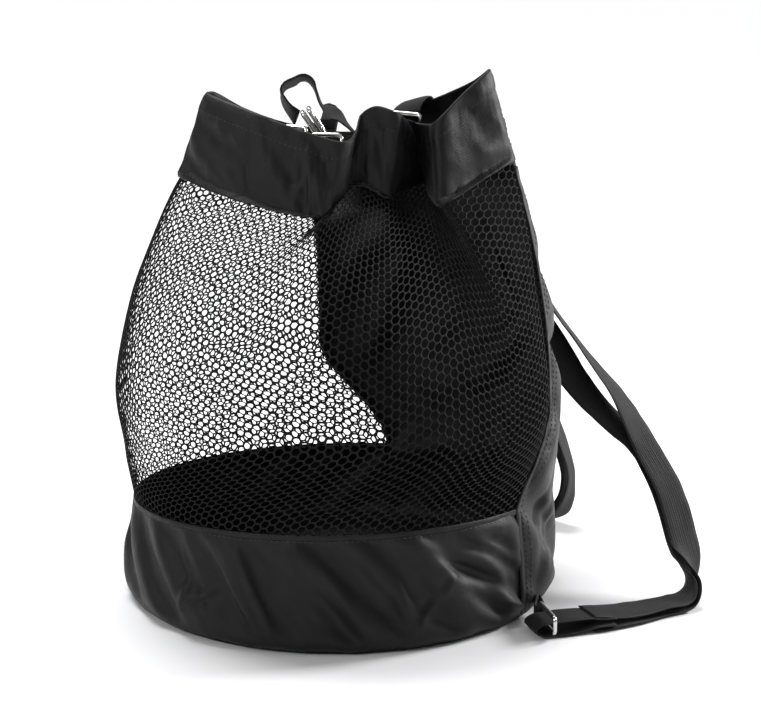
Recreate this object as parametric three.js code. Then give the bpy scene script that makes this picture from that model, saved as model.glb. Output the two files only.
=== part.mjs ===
// A soft-sided mesh ball bag with a round base, two webbing shoulder straps and a gathered mouth.
// Millimetres, +Z up. The origin is the centre of the flat base, on the surface that the bag stands on.
// The front of the bag faces -Y, and the back panel, where the straps are, faces +X and a little +Y.
import * as THREE from 'three';

// ---- driving dimensions ----------------------------------------------------------------------
const BASE_R = 126;          // outer edge of the round base
const BAND_R = 124;          // nylon band at its upper seam
const BAND_SWELL = 3;        // the band stands out by this much, low down
const BALL_R = 130.5;        // widest part, around a size 7 ball
const BALL_Z = 122;          // height of the widest part
const BALL_SHIFT = -2.5;     // the ball sits a little to the left of the base's centre
const BAND_Z = 60;           // mean height of the band's upper seam
const BAND_SLANT = 9;        // the seam is this much higher at the front
const BAND_BOTTOM = 3.6;     // lower edge of the band, just above the piping
const FABRIC = 1.2;          // thickness of a sewn panel
const NET_T = 0.6;           // thickness of the net
const GAP = 0.3;             // clearance between pieces that touch
const TAPE = 0.9;            // thickness of a binding tape
const TAPE_HALF = 1.4;       // half width of a vertical binding tape, in degrees around the bag
const PANEL_FRONT = 56;      // front seam of the back panel, degrees around the bag from the front
const PANEL_BACK = 165;      // far seam of the back panel
const PANEL_TWIST = 19;      // the seams turn by this much on the way up to the widest part
const PIPING_R = 1.5;        // round piping along the edge of the base
const WEB_W = 20;            // width of the webbing
const WEB_T = 1.5;           // thickness of the webbing
const RING_L = 26;           // inner length of a lower ring
const RING_S = 7;            // inner height of a lower ring
const WIRE_R = 1.3;          // radius of the rings' wire
const TAB_W = 6;             // webbing tab that holds a lower ring by its short side
const MOUTH_RING_L = 16;     // inner length of a ring at the mouth
const MOUTH_RING_S = 8;      // inner height of a ring at the mouth
const BACK_RING_S = 9;       // inner height of the ring behind the mouth
const DRAW_W = 14;           // width of the draw strap and of the tabs at the mouth
const STRAND = 2.1;          // each strand of a shoulder strap lies this far off their common line

// Mouth: degrees around the bag, a point of the collar's upper edge, a point of its lower edge.
// The cloth is gathered into two ears, a raised pleat and one deep fold in front, one fold behind.
const MOUTH = [
  [-120, [-76, 7, 299.5], [-91, 9.5, 253.5]],
  [-98, [-50, -18, 292], [-62, -26, 246]],
  [-72, [-16, -34, 281], [-26, -48, 239]],
  [-54, [3, -38, 277], [-9, -50, 237]],
  [-44, [10, -26, 281], [-1, -41, 243]],
  [-34, [13, -15, 289], [5, -31, 251]],
  [-20, [22, -15, 294], [15, -29, 252]],
  [-6, [34, -19, 291], [28, -31, 245]],
  [2, [38, -4, 286], [36, -10, 246]],
  [14, [46, 14, 281], [49, 14, 246]],
  [26, [54, -2, 282], [57, -12, 243]],
  [34, [57, -18, 286], [60, -34, 243]],
  [44, [73, -8, 301], [81, -18, 253]],
  [57, [89, 8, 313], [103, 8, 264]],
  [72, [80, 24, 304], [94, 36, 257]],
  [90, [58, 38, 292], [70, 58, 247]],
  [110, [35, 44, 282], [40, 70, 238]],
  [124, [22, 36, 277], [24, 58, 232]],
  [138, [15, 24, 275], [12, 38, 230]],
  [150, [4, 32, 273], [-2, 52, 228]],
  [168, [-16, 40, 274], [-22, 68, 228]],
  [190, [-36, 36, 279], [-48, 60, 230]],
  [212, [-56, 26, 288], [-72, 40, 239]],
  [228, [-72.5, 13.5, 299], [-88, 17, 252]],
];

const object = new THREE.Group();

const NYLON = { color: 0x17171a, roughness: 0.62, metalness: 0 };
const NET = { color: 0x0d0d0f, roughness: 0.75, metalness: 0 };
const WEBBING = { color: 0x131315, roughness: 0.8, metalness: 0 };
const NICKEL = { color: 0xc9c9c6, roughness: 0.22, metalness: 1 };

function add(name, geometry, look) {
  const mesh = new THREE.Mesh(geometry, new THREE.MeshStandardMaterial(look));
  mesh.name = name;
  object.add(mesh);
  return mesh;
}

const rad = THREE.MathUtils.degToRad;
const vec = (x, y, z) => new THREE.Vector3(x, y, z);
const around = (deg, r, z) => vec(r * Math.sin(rad(deg)), -r * Math.cos(rad(deg)), z);

// ---- closed geometry from a grid of points -----------------------------------------------------
// rows[i][j]: i runs along the piece, j runs around its section. Faces look outwards when the
// section turns anticlockwise seen from the end of the piece.
function gridGeometry(rows, closedAlong, caps) {
  const around_ = rows[0].length;
  const position = rows.flat().flatMap((p) => [p.x, p.y, p.z]);
  const index = [];
  const last = closedAlong ? rows.length : rows.length - 1;
  for (let i = 0; i < last; i++) {
    for (let j = 0; j < around_; j++) {
      const a = i * around_ + j;
      const b = i * around_ + ((j + 1) % around_);
      const c = ((i + 1) % rows.length) * around_ + ((j + 1) % around_);
      const d = ((i + 1) % rows.length) * around_ + j;
      index.push(a, b, c, a, c, d);
    }
  }
  if (!closedAlong) {
    const end = (rows.length - 1) * around_;
    for (const [p, q, r] of caps) {
      index.push(r, q, p);
      index.push(end + p, end + q, end + r);
    }
  }
  const geometry = new THREE.BufferGeometry();
  geometry.setAttribute('position', new THREE.Float32BufferAttribute(position, 3));
  geometry.setIndex(index);
  geometry.computeVertexNormals();
  return geometry;
}

// ---- the bag's outer form ----------------------------------------------------------------------
const upperEdge = new THREE.CatmullRomCurve3(MOUTH.map((m) => vec(...m[1])), true, 'centripetal');
const lowerEdge = new THREE.CatmullRomCurve3(MOUTH.map((m) => vec(...m[2])), true, 'centripetal');

function mouthPoint(curve, deg) {
  const start = MOUTH[0][0];
  const turn = start + ((((deg - start) % 360) + 360) % 360);
  let i = MOUTH.length - 1;
  while (MOUTH[i][0] > turn) {
    i -= 1;
  }
  const next = i + 1 < MOUTH.length ? MOUTH[i + 1][0] : start + 360;
  const part = (turn - MOUTH[i][0]) / (next - MOUTH[i][0]);
  return curve.getPoint(((i + part) / MOUTH.length) % 1);
}

function seamHeight(deg) {
  return BAND_Z + BAND_SLANT * Math.cos(rad(deg - 15));
}

// level 0 is the band's lower edge, 1 its seam with the net, 2 the widest part, 3 the collar's
// lower edge and 4 the collar's upper edge.
function bagPoint(deg, level) {
  const seam = seamHeight(deg);
  if (level <= 1) {
    const swell = BAND_SWELL * Math.sin(Math.PI * level ** 0.46);
    const radius = BASE_R + (BAND_R - BASE_R) * level + swell;
    return around(deg, radius, BAND_BOTTOM + (seam - BAND_BOTTOM) * level);
  }
  const rise = Math.min(level - 1, 1);
  const turned = deg + PANEL_TWIST * THREE.MathUtils.smoothstep(rise, 0, 1);
  const round = BAND_R + (BALL_R - BAND_R) * Math.sin(rise * Math.PI * 0.5);
  const widest = around(turned, round, seam + (BALL_Z - seam) * rise);
  widest.x += BALL_SHIFT * THREE.MathUtils.smoothstep(rise, 0, 1);
  if (level <= 2) {
    return widest;
  }
  const edge = mouthPoint(lowerEdge, deg);
  if (level <= 3) {
    const lift = 60 + 16 * Math.abs(Math.cos(rad(turned)));
    const above = widest.clone().setZ(BALL_Z + lift);
    return new THREE.QuadraticBezierCurve3(widest, above, edge).getPoint(level - 2);
  }
  return edge.lerp(mouthPoint(upperEdge, deg), level - 3);
}

// near the collar's seam both panels share the seam's own normal, so their edges stay face to face
function bagNormal(deg, level) {
  const step = 0.03;
  const at = Math.abs(level - 3) < 0.06 ? 3 : level;
  const low = Math.max(at - step, 0);
  const high = Math.min(at + step, 4);
  const alongTurn = bagPoint(deg + 0.6, at).sub(bagPoint(deg - 0.6, at));
  const upwards = bagPoint(deg, high).sub(bagPoint(deg, low));
  return alongTurn.cross(upwards).normalize();
}

// a sewn panel: a thin closed shell over part of the bag's form, offset outwards by near and far
function panel(name, degs, levels, near, far, look) {
  const count = levels.length;
  const rows = degs.map((deg) => {
    const inner = levels.map((l) => bagPoint(deg, l).addScaledVector(bagNormal(deg, l), near));
    const outer = levels.map((l) => bagPoint(deg, l).addScaledVector(bagNormal(deg, l), far));
    return [...inner, ...outer.reverse()];
  });
  const caps = [];
  for (let k = 0; k < count - 1; k++) {
    const low = 2 * count - 1 - k;
    caps.push([k, k + 1, low - 1], [k, low - 1, low]);
  }
  add(name, gridGeometry(rows, false, caps), look);
}

function steps(from, to, count) {
  return Array.from({ length: count + 1 }, (_, i) => from + ((to - from) * i) / count);
}

// ---- base --------------------------------------------------------------------------------------
const discR = BASE_R - 2 * PIPING_R - GAP;
const disc = new THREE.CylinderGeometry(discR, discR, 2, 72);
disc.rotateX(Math.PI / 2);
disc.translate(0, 0, 1);
add('base_disc', disc, NYLON);

const piping = new THREE.TorusGeometry(BASE_R - PIPING_R, PIPING_R, 6, 60);
piping.translate(0, 0, PIPING_R);
add('base_piping', piping, NYLON);

// ---- sewn panels -------------------------------------------------------------------------------
const EDGE = 0.15;
const FRONT_COUNT = 72;
const frontFrom = PANEL_BACK - 360 + EDGE;
const frontTo = PANEL_FRONT - EDGE;
const lowLevels = [0.12, 0.25, 0.45, 0.7];
const bandLevels = [0, ...lowLevels, 0.993];
const netLevels = steps(1, 2.99, 9);
const collarLevels = [3.02, 3.5, 4];
panel('front_band', steps(frontFrom, frontTo, FRONT_COUNT / 2), bandLevels, 0, FABRIC, NYLON);
panel('net_panel', steps(frontFrom, frontTo, FRONT_COUNT), netLevels, 0, NET_T, NET);
panel('collar', steps(frontFrom, frontTo, FRONT_COUNT), collarLevels, 0, FABRIC, NYLON);
panel('back_panel', steps(PANEL_FRONT + EDGE, PANEL_BACK - EDGE, 26),
  [0, ...lowLevels, ...netLevels, ...collarLevels], 0, FABRIC, NYLON);

const tapeNear = FABRIC + GAP;
const tapeFar = tapeNear + TAPE;
panel('band_seam_tape', steps(frontFrom + 2, frontTo - 2, FRONT_COUNT / 2), [0.95, 1.03],
  tapeNear, tapeFar, NYLON);
const sideLevels = [0.03, ...lowLevels, ...netLevels.slice(0, -1)];
panel('front_seam_tape', [PANEL_FRONT - TAPE_HALF, PANEL_FRONT + TAPE_HALF], sideLevels,
  tapeNear, tapeFar, NYLON);
panel('far_seam_tape', [PANEL_BACK - TAPE_HALF, PANEL_BACK + TAPE_HALF], sideLevels,
  tapeNear, tapeFar, NYLON);

// ---- webbing: a flat ribbon along a curve --------------------------------------------------------
// Each stop of the route is a point, the direction across the webbing there, and how far the
// webbing lies off the point along its own face.
function ribbon(name, route, count, width = WEB_W, thickness = WEB_T) {
  const path = new THREE.CatmullRomCurve3(route.map((r) => vec(...r[0])), false, 'centripetal');
  const across = new THREE.CatmullRomCurve3(route.map((r) => vec(...r[1]).normalize()), false, 'catmullrom');
  const lifts = new THREE.CatmullRomCurve3(route.map((r) => vec(r[2] ?? 0, 0, 0)), false, 'catmullrom');
  const rows = steps(0, 1, count).map((t) => {
    const along = path.getTangent(t);
    const side = across.getPoint(t);
    side.addScaledVector(along, -side.dot(along)).normalize();
    const face = along.clone().cross(side);
    const centre = path.getPoint(t).addScaledVector(face, lifts.getPoint(t).x);
    return [[-1, -1], [1, -1], [1, 1], [-1, 1]].map(([a, b]) => centre.clone()
      .addScaledVector(side, (a * width) / 2)
      .addScaledVector(face, (b * thickness) / 2));
  });
  return add(name, gridGeometry(rows, false, [[0, 1, 2], [0, 2, 3]]), WEBBING);
}

// a rectangular ring bent from round wire, with rounded corners
function ring(name, centre, longWay, shortWay, innerL, innerS) {
  const corner = 2.8;
  const halfL = innerL / 2 + WIRE_R;
  const halfS = innerS / 2 + WIRE_R;
  const b = shortWay.clone().addScaledVector(longWay, -shortWay.dot(longWay)).normalize();
  const normal = longWay.clone().cross(b);
  const rows = [];
  for (let quarter = 0; quarter < 4; quarter++) {
    const signA = quarter === 0 || quarter === 3 ? 1 : -1;
    const signB = quarter < 2 ? 1 : -1;
    for (const turn of steps(0, 90, 3)) {
      const angle = rad(quarter * 90 + turn);
      const outward = longWay.clone().multiplyScalar(Math.cos(angle)).addScaledVector(b, Math.sin(angle));
      const wire = centre.clone()
        .addScaledVector(longWay, signA * (halfL - corner))
        .addScaledVector(b, signB * (halfS - corner))
        .addScaledVector(outward, corner);
      rows.push(steps(0, 300, 5).map((w) => wire.clone()
        .addScaledVector(outward, WIRE_R * Math.cos(rad(w)))
        .addScaledVector(normal, -WIRE_R * Math.sin(rad(w)))));
    }
  }
  return add(name, gridGeometry(rows, true), NICKEL);
}

// a webbing tab folded round a bar: a bend round the wire and two legs that meet at the root
function tab(name, bar, barWay, rootWay, leg, width) {
  const bend = WIRE_R + 0.7 + WEB_T / 2;
  const together = WEB_T / 2 + 0.15;
  const side = barWay.clone().cross(rootWay).normalize();
  const at = (along, off) => bar.clone().addScaledVector(rootWay, along).addScaledVector(side, off);
  const points = [at(leg, together), at(leg * 0.5, (together + bend) / 2)];
  for (const turn of steps(0, 180, 6)) {
    points.push(at(-bend * Math.sin(rad(turn)), bend * Math.cos(rad(turn))));
  }
  points.push(at(leg * 0.5, -(together + bend) / 2), at(leg, -together));
  const way = barWay.toArray();
  return ribbon(name, points.map((p) => [p.toArray(), way]), 18, width);
}

// ---- lower rings and the straps' lower loops ------------------------------------------------------
// Placed for the right side and mirrored over the vertical plane through the back panel's middle.
const UP = vec(0, 0, 1);
const PANEL_MID = (PANEL_FRONT + PANEL_BACK) / 2;
const acrossPanel = vec(Math.cos(rad(PANEL_MID)), Math.sin(rad(PANEL_MID)), 0);
const keep = (p) => p.clone();
const mirror = (p) => p.clone().addScaledVector(acrossPanel, -2 * p.dot(acrossPanel));

const LOW_RING = vec(119.3, -92.5, 8.6);
const LOW_LONG = vec(0.22, -0.975, 0).normalize();
const LOOP_ROUTE = [
  vec(143, -83.5, 8.6), vec(131, -88.5, 8.9), vec(120.5, -92.6, 8.8), vec(113, -95, 8.2),
  vec(109.3, -96, 5.2), vec(112, -95.5, 2.1), vec(119.5, -93.5, 1.25), vec(131, -90, 1.25),
  vec(143, -86, 1.3),
];
const TAB_ROOT = vec(0.05, 1, 0).normalize();
const TAB_LEG = 18;
const LOOP_ACROSS = vec(0.28, -0.96, 0);
const STRAND_HIGH = vec(145.7, -82.1, 8.5);
const STRAND_LOW = vec(145.7, -85.4, 1.3);

for (const [side, place] of [['right', keep], ['left', mirror]]) {
  ring(`base_ring_${side}`, place(LOW_RING), place(LOW_LONG), UP, RING_L, RING_S);
  const shortBar = LOW_RING.clone().addScaledVector(LOW_LONG, -(RING_L / 2 + WIRE_R));
  tab(`base_tab_${side}`, place(shortBar), UP, place(TAB_ROOT), TAB_LEG, TAB_W);
  const across = place(LOOP_ACROSS).toArray();
  ribbon(`strap_loop_${side}`, LOOP_ROUTE.map((p) => [place(p).toArray(), across]), 22);
}

// ---- shoulder straps --------------------------------------------------------------------------------
// Two strands each. They leave the lower loop, run along the floor one on the other, turn up and
// part again before they reach the mouth.
const RIGHT_SHARED = [
  [[188, -61, 3.1], [-0.46, 0.89, 0]],
  [[203, -52.5, 4], [-0.46, 0.89, 0]],
  [[209.3, -44, 9.5], [-0.2, 0.9, -0.3]],
  [[209.5, -34.5, 18.5], [0.4, 0.88, -0.2]],
  [[207.6, -22.7, 30], [0.86, 0.5, 0]],
  [[200.3, -1.2, 57], [0.86, 0.5, 0]],
  [[187, 19, 81], [0.84, 0.55, 0]],
];
const shared = (route, lift) => route.map(([p, w]) => [p, w, lift]);
ribbon('strap_right_inner', [
  [STRAND_HIGH.toArray(), [-0.28, 0.96, 0], 0],
  [[166, -73, 5.8], [-0.4, 0.9, 0.1], 0],
  ...shared(RIGHT_SHARED, STRAND),
  [[167, 31, 97], [0.8, 0.6, 0.1], STRAND],
  [[150, 44, 112], [0.8, 0.55, 0.3], 0],
  [[133, 60, 138], [0.75, 0.55, 0.4], 0],
  [[110, 75, 176], [0.3, 0.85, 0.3], 0],
  [[83, 76, 220], [-0.8, 0.5, 0.1], 0],
], 50);
ribbon('strap_right_outer', [
  [STRAND_LOW.toArray(), [-0.28, 0.96, 0], 0],
  [[166, -76, 1.3], [-0.4, 0.9, 0], 0],
  ...shared(RIGHT_SHARED, -STRAND),
  [[172, 37, 107], [0.5, 0.85, -0.1], -STRAND],
  [[153, 56, 133], [0.25, 0.95, -0.2], 0],
  [[134, 75, 158], [0.15, 0.95, -0.15], 0],
  [[106, 86, 200], [-0.3, 0.9, 0.3], 0],
  [[78, 82, 230], [-0.85, 0.45, 0.1], 0],
], 50);

const LEFT_SHARED = [
  [[96, 157, 3.1], [0.4, 0.9, 0]],
  [[117, 137, 3.1], [0.72, 0.7, 0]],
  [[134, 116, 4], [0.78, 0.62, 0]],
  [[144, 106.5, 9.5], [0.75, 0.66, 0]],
  [[149.5, 106.5, 19.5], [0.5, 0.87, 0]],
  [[151.5, 111, 33], [0.3, 0.95, 0]],
  [[146, 118, 56], [0.3, 0.95, 0]],
  [[135, 127, 82], [0.25, 0.95, 0]],
  [[110, 142, 125], [0.1, 0.95, -0.2]],
  [[68, 142, 179], [-0.3, 0.85, 0]],
  [[20, 117, 225], [-0.8, 0.5, 0]],
];
const leftAcross = mirror(LOOP_ACROSS).toArray();
ribbon('strap_left_inner', [
  [mirror(STRAND_HIGH).toArray(), leftAcross, 0],
  [[75, 164, 5.8], [-0.2, 0.97, 0], 0],
  ...shared(LEFT_SHARED, STRAND),
  [[-7, 94, 232], [-0.95, 0.25, 0], STRAND],
], 50);
ribbon('strap_left_outer', [
  [mirror(STRAND_LOW).toArray(), leftAcross, 0],
  [[77, 166, 1.3], [-0.2, 0.97, 0], 0],
  ...shared(LEFT_SHARED, -STRAND),
  [[-7, 94, 233], [-0.95, 0.25, 0], -STRAND],
], 50);

// ---- mouth: webbing over the back edge, rings, tabs and the draw strap -------------------------------
ribbon('strap_right_top', [
  [[74, 80, 233.5], [-0.9, 0.4, 0.1]],
  [[65, 74.5, 245], [-0.9, 0.4, 0]],
  [[58, 66, 259], [-0.88, 0.42, -0.1]],
  [[54, 55, 276], [-0.86, 0.45, -0.15]],
  [[51, 49, 286.5], [-0.84, 0.48, -0.25]],
  [[47.6, 42.5, 291.5], [-0.8, 0.52, -0.28]],
  [[43.5, 36.5, 289.4], [-0.78, 0.58, -0.25]],
  [[41, 32.8, 285], [-0.8, 0.6, -0.1]],
], 20);
ribbon('strap_left_top', [
  [[-14, 87, 234], [0.95, -0.25, 0]],
  [[-18, 76, 240.5], [0.98, -0.1, 0]],
  [[-17, 62, 253], [0.98, 0.1, 0]],
  [[-12, 53, 267], [0.95, 0.2, 0]],
  [[-8, 47.5, 278], [0.7, 0.65, -0.1]],
  [[-7.5, 42.5, 283], [0.21, 0.95, -0.23]],
  [[-11, 40.8, 290.5], [0.1, 0.97, -0.23]],
  [[-14, 39, 298.5], [0.05, 0.96, -0.28]],
  [[-17.5, 37.6, 303.3], [0, 0.94, -0.34]],
  [[-21.7, 36.3, 304.7], [0, 0.93, -0.37]],
  [[-27, 34.7, 302.8], [0, 0.93, -0.38]],
  [[-32, 33.2, 300.3], [0, 0.92, -0.4]],
  [[-33.6, 32.3, 296.8], [0, 0.91, -0.42]],
  [[-32.4, 31.2, 292.5], [-0.1, 0.91, -0.38]],
  [[-28.2, 29.3, 286.3], [-0.26, 0.93, -0.27]],
  [[-24.5, 27.5, 282.3], [-0.38, 0.87, -0.3]],
], 40);

const BACK_RING = vec(39.5, 28.5, 279);
const BACK_LONG = vec(-0.8, 0.6, 0).normalize();
ring('back_ring', BACK_RING, BACK_LONG, UP, WEB_W + 2, BACK_RING_S);
tab('back_ring_tab', BACK_RING.clone().setZ(BACK_RING.z - BACK_RING_S / 2 - WIRE_R), BACK_LONG,
  vec(0.4, 0.5, -0.77).normalize(), 9, WEB_W);

// two rings side by side at the end of the standing loop, which pinch the draw strap
const CINCH_LONG = vec(0.54, 0, -0.84).normalize();
const CINCH = vec(-12.4, 17, 281.5);
ring('cinch_ring_front', CINCH, CINCH_LONG, vec(0, 1, 0), MOUTH_RING_L, MOUTH_RING_S);
ring('cinch_ring_back', CINCH.clone().add(vec(-3.6, 0, -2.3)), CINCH_LONG, vec(0, 1, 0),
  MOUTH_RING_L, MOUTH_RING_S);
ribbon('draw_strap', [
  [[-9, 12.5, 287], [0.1, 0.8, 0.5]],
  [[-2, 11, 286.5], [0.1, 0.85, 0.4]],
  [[6, 8, 279.5], [0, 1, 0]],
  [[15, 4.5, 272], [-0.2, 1, 0]],
  [[25, 7, 268.5], [-0.5, 0.8, 0]],
  [[31, 16, 268], [-0.9, 0.4, 0]],
], 18, DRAW_W);

// rings on tabs inside the front of the collar
const FRONT_RINGS = [
  ['left', vec(-27, -24, 279), vec(0.9, -0.4, 0)],
  ['middle', vec(-7, -29.5, 275), vec(0.97, -0.2, 0)],
];
for (const [place, centre, along] of FRONT_RINGS) {
  const longWay = along.normalize();
  const slope = vec(0.16, 0.26, 0.95).normalize();
  const shortWay = slope.clone().addScaledVector(longWay, -slope.dot(longWay)).normalize();
  ring(`collar_ring_${place}`, centre, longWay, shortWay, MOUTH_RING_L, MOUTH_RING_S);
  const bar = centre.clone().addScaledVector(shortWay, -(MOUTH_RING_S / 2 + WIRE_R));
  tab(`collar_tab_${place}`, bar, longWay, shortWay.clone().negate(), 9, DRAW_W);
}

export default object;
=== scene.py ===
"""Mesh ball bag: nylon base band, back panel and collar, hexagonal net, webbing straps, nickel rings.

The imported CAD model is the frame. Every piece here is drawn in millimetres, in the frame's axes,
and is scaled to metres when its mesh is made. The front faces -Y and the back panel faces +X.
"""
import math

import bpy
import numpy as np
from mathutils import Euler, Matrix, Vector


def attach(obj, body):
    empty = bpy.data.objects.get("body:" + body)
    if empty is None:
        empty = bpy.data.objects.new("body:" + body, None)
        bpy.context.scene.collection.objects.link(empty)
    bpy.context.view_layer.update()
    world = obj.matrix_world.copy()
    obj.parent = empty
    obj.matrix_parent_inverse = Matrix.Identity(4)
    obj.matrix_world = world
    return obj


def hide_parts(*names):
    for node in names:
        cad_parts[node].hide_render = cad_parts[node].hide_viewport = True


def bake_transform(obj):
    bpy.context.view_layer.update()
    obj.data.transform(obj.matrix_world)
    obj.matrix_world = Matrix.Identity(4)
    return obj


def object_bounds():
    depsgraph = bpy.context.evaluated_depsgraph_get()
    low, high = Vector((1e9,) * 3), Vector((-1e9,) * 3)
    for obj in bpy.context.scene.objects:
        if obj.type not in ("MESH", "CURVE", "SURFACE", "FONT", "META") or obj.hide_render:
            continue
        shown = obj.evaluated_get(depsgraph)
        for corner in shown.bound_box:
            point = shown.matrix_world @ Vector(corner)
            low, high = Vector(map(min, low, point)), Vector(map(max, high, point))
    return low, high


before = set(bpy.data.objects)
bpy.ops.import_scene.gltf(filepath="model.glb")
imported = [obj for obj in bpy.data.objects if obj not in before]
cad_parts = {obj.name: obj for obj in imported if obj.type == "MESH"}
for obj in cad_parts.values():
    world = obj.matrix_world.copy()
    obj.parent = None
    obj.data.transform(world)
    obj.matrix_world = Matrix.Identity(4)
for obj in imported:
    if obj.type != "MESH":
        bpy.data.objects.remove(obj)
CAD_LOW, CAD_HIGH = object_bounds()
MM = 0.001

# ---- camera --------------------------------------------------------------------------------------
camera = bpy.data.objects.new("camera", bpy.data.cameras.new("camera"))
bpy.context.collection.objects.link(camera)
camera.location = (0, -1.3, 0.455)
camera.rotation_euler = Euler((math.radians(90 - 13.67), 0, math.radians(-1.1)))
camera.data.sensor_width = 36
camera.data.lens = 105.1
bpy.context.scene.camera = camera

# ---- driving dimensions, as the CAD has them -----------------------------------------------------
BASE_R, BAND_R, BAND_SWELL = 126.0, 124.0, 3.0   # round base, the band's upper seam, its swell
BALL_R, BALL_Z, BALL_SHIFT = 130.5, 122.0, -2.5
BAND_Z, BAND_SLANT, BAND_BOTTOM = 60.0, 9.0, 3.6
PANEL_FRONT, PANEL_BACK, PANEL_TWIST = 56.0, 165.0, 19.0
PIPING_R = 1.5
WEB_W, WEB_T = 20.0, 1.5
RING_L, RING_S, BACK_RING_S, WIRE_R = 26.0, 7.0, 9.0, 1.3
MOUTH_RING_L, MOUTH_RING_S = 16.0, 8.0
TAB_W, TAB_LEG, DRAW_W, STRAND = 6.0, 18.0, 14.0, 2.1
CLOTH = 0.9                          # sewn nylon with its coating
MOUTH = [
    (-120, (-76, 7, 299.5), (-91, 9.5, 253.5)), (-98, (-50, -18, 292), (-62, -26, 246)),
    (-72, (-16, -34, 281), (-26, -48, 239)), (-54, (3, -38, 277), (-9, -50, 237)),
    (-44, (10, -26, 281), (-1, -41, 243)), (-34, (13, -15, 289), (5, -31, 251)),
    (-20, (22, -15, 294), (15, -29, 252)), (-6, (34, -19, 291), (28, -31, 245)),
    (2, (38, -4, 286), (36, -10, 246)), (14, (46, 14, 281), (49, 14, 246)),
    (26, (54, -2, 282), (57, -12, 243)), (34, (57, -18, 286), (60, -34, 243)),
    (44, (73, -8, 301), (81, -18, 253)), (57, (89, 8, 313), (103, 8, 264)),
    (72, (80, 24, 304), (94, 36, 257)), (90, (58, 38, 292), (70, 58, 247)),
    (110, (35, 44, 282), (40, 70, 238)), (124, (22, 36, 277), (24, 58, 232)),
    (138, (15, 24, 275), (12, 38, 230)), (150, (4, 32, 273), (-2, 52, 228)),
    (168, (-16, 40, 274), (-22, 68, 228)), (190, (-36, 36, 279), (-48, 60, 230)),
    (212, (-56, 26, 288), (-72, 40, 239)), (228, (-72.5, 13.5, 299), (-88, 17, 252)),
]


# ---- curves --------------------------------------------------------------------------------------
def curve_at(points, t, closed=False, power=0.5):
    """Points of a Catmull-Rom curve at t from 0 to 1. power is 0.5 centripetal, 0 uniform."""
    p = np.asarray(points, float)
    if not closed:
        p = np.vstack([2 * p[0] - p[1], p, 2 * p[-1] - p[-2]])
    count = len(p) if closed else len(p) - 3
    at = np.clip(np.asarray(t, float), 0, 1) * count
    i = np.floor(at).astype(int)
    i = i % count if closed else np.minimum(i, count - 1)
    w = (at - np.floor(at) if closed else at - i)[..., None]
    k = [(i - 1) % len(p), i, (i + 1) % len(p), (i + 2) % len(p)] if closed else [i, i + 1, i + 2, i + 3]
    a, b, c, d = (p[j] for j in k)
    ab, bc, cd = (np.maximum(np.linalg.norm(x, axis=-1, keepdims=True), 1e-9) ** power
                  for x in (b - a, c - b, d - c))
    t1 = ((b - a) / ab - (c - a) / (ab + bc) + (c - b) / bc) * bc
    t2 = ((c - b) / bc - (d - b) / (bc + cd) + (d - c) / cd) * bc
    return b + t1 * w + (3 * (c - b) - 2 * t1 - t2) * w**2 + (2 * (b - c) + t1 + t2) * w**3


def smooth(x):
    x = np.clip(x, 0, 1)
    return x * x * (3 - 2 * x)


def unit(v):
    return v / np.maximum(np.linalg.norm(v, axis=-1, keepdims=True), 1e-9)


def noise(x, y, seed):
    """Smooth noise from -1 to 1 over a plane, the same on every run."""
    xi, yi = np.floor(x), np.floor(y)
    ux, uy = smooth(x - xi), smooth(y - yi)

    def corner(i, j):
        h = np.sin((xi + i) * 127.1 + (yi + j) * 311.7 + seed * 74.7) * 43758.5453
        return 2 * (h - np.floor(h)) - 1
    low = corner(0, 0) * (1 - ux) + corner(1, 0) * ux
    return low * (1 - uy) + (corner(0, 1) * (1 - ux) + corner(1, 1) * ux) * uy


# ---- the bag's form ------------------------------------------------------------------------------
def mouth_point(which, deg):
    starts = np.array([m[0] for m in MOUTH], float)
    turn = starts[0] + (deg - starts[0]) % 360
    i = np.searchsorted(starts, turn, side="right") - 1
    after = np.append(starts[1:], starts[0] + 360)
    part = (turn - starts[i]) / (after[i] - starts[i])
    return curve_at([m[which] for m in MOUTH], (i + part) / len(MOUTH), closed=True)


def bag_point(deg, level):
    """level 0 is the band's lower edge, 1 its seam with the net, 2 the widest part, 3 and 4 the
    collar's lower and upper edges. deg goes round from the front, towards +X."""
    deg, level = np.broadcast_arrays(np.asarray(deg, float), np.asarray(level, float))
    seam = BAND_Z + BAND_SLANT * np.cos(np.radians(deg - 15))
    low, rise = np.clip(level, -0.2, 1), np.clip(level - 1, 0, 1)
    turn = np.radians(deg + PANEL_TWIST * smooth(rise))
    swell = BAND_SWELL * np.sin(math.pi * np.maximum(low, 0) ** 0.46) + 40 * np.minimum(low, 0)
    radius = np.where(level <= 1, BASE_R + (BAND_R - BASE_R) * low + swell,
                      BAND_R + (BALL_R - BAND_R) * np.sin(rise * math.pi / 2))
    z = np.where(level <= 1, BAND_BOTTOM + (seam - BAND_BOTTOM) * low, seam + (BALL_Z - seam) * rise)
    side = np.stack([radius * np.sin(turn) + BALL_SHIFT * smooth(rise), -radius * np.cos(turn), z], -1)
    edge = mouth_point(2, deg)
    above = side.copy()
    above[..., 2] = BALL_Z + 60 + 16 * np.abs(np.cos(turn))
    w = np.clip(level - 2, 0, 1)[..., None]
    side = side * (1 - w) ** 2 + 2 * above * w * (1 - w) + edge * w**2
    w = np.clip(level - 3, 0, 1.1)[..., None]
    return side + (mouth_point(1, deg) - edge) * w


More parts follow.
